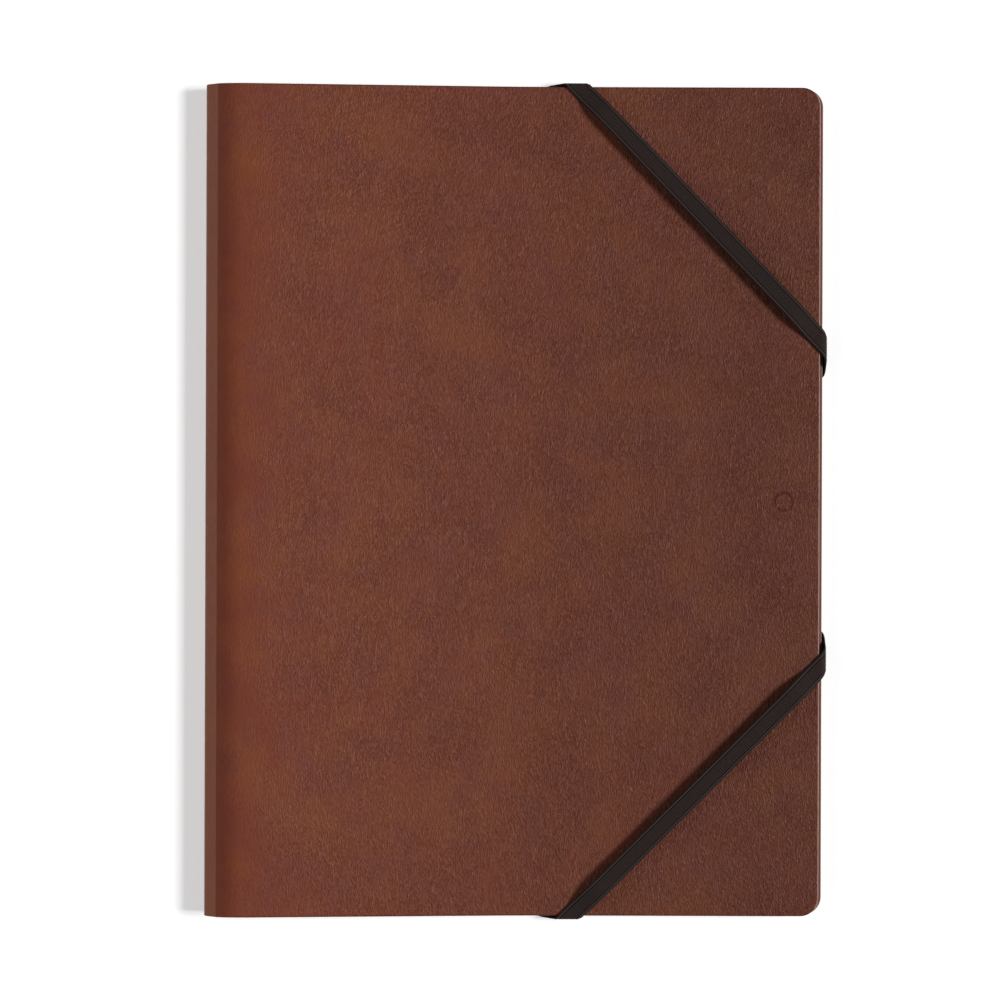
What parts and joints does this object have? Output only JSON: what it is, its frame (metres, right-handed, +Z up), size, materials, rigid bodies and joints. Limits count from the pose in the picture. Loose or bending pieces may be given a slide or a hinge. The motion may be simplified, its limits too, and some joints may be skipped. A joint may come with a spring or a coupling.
{
  "type": "notebook cover",
  "caption": "Flat rectangular leather cover with a folding spine, lined inside with sleeves, held shut by a stretch band across each fore-edge corner.",
  "frame": {"origin": "middle of the base of the closed cover, where its elastics meet the table", "axes": "+X from the spine to the fore-edge, +Y along the spine towards the top edge, +Z up out of the front cover"},
  "size_m": [0.2362, 0.318, 0.0139],
  "materials": {
    "hide": "brown pebble-grain leather, semi-matt",
    "board": "grey-brown pressed board, hidden",
    "lining": "brown smooth leather lining",
    "sleeve": "thin smooth brown leather",
    "thread": "dark brown sewing thread",
    "elastic": "near-black ribbed woven elastic"
  },
  "bodies": {
    "back_cover": {"back_leather": "hide", "back_board": "board", "back_lining": "lining", "back_sleeve": "sleeve", "back_sleeve_seam": "thread", "back_fold_leather": "hide", "back_fold_lining": "lining"},
    "spine": {"spine_leather": "hide", "spine_board": "board", "spine_lining": "lining", "front_fold_leather": "hide", "front_fold_lining": "lining"},
    "front_cover": {"front_leather": "hide", "front_board": "board", "front_lining": "lining", "front_sleeve": "sleeve", "front_sleeve_seam": "thread"},
    "elastic_upper": {"elastic_upper": "elastic"},
    "elastic_lower": {"elastic_lower": "elastic"}
  },
  "joints": [
    {"name": "spine_fold", "type": "hinge", "parent": "back_cover", "child": "spine", "pos_m": [-0.1166, 0, 0.00264], "axis": [0, -1, 0], "range_deg": [0, 90], "deforming": ["back_fold_leather", "back_fold_lining"]},
    {"name": "cover_fold", "type": "hinge", "parent": "spine", "child": "front_cover", "pos_m": [-0.11656, 0, 0.01177], "axis": [0, -1, 0], "range_deg": [0, 91.8], "deforming": ["front_fold_leather", "front_fold_lining"]},
    {"name": "elastic_upper_stretch", "type": "slide", "parent": "back_cover", "child": "elastic_upper", "axis": [0.7071, 0.7071, 0], "range_m": [0, 0.072], "stiffness_N_per_m": 100, "deforming": ["elastic_upper"]},
    {"name": "elastic_lower_stretch", "type": "slide", "parent": "back_cover", "child": "elastic_lower", "axis": [0.7071, -0.7071, 0], "range_m": [0, 0.072], "stiffness_N_per_m": 100, "deforming": ["elastic_lower"]}
  ]
}
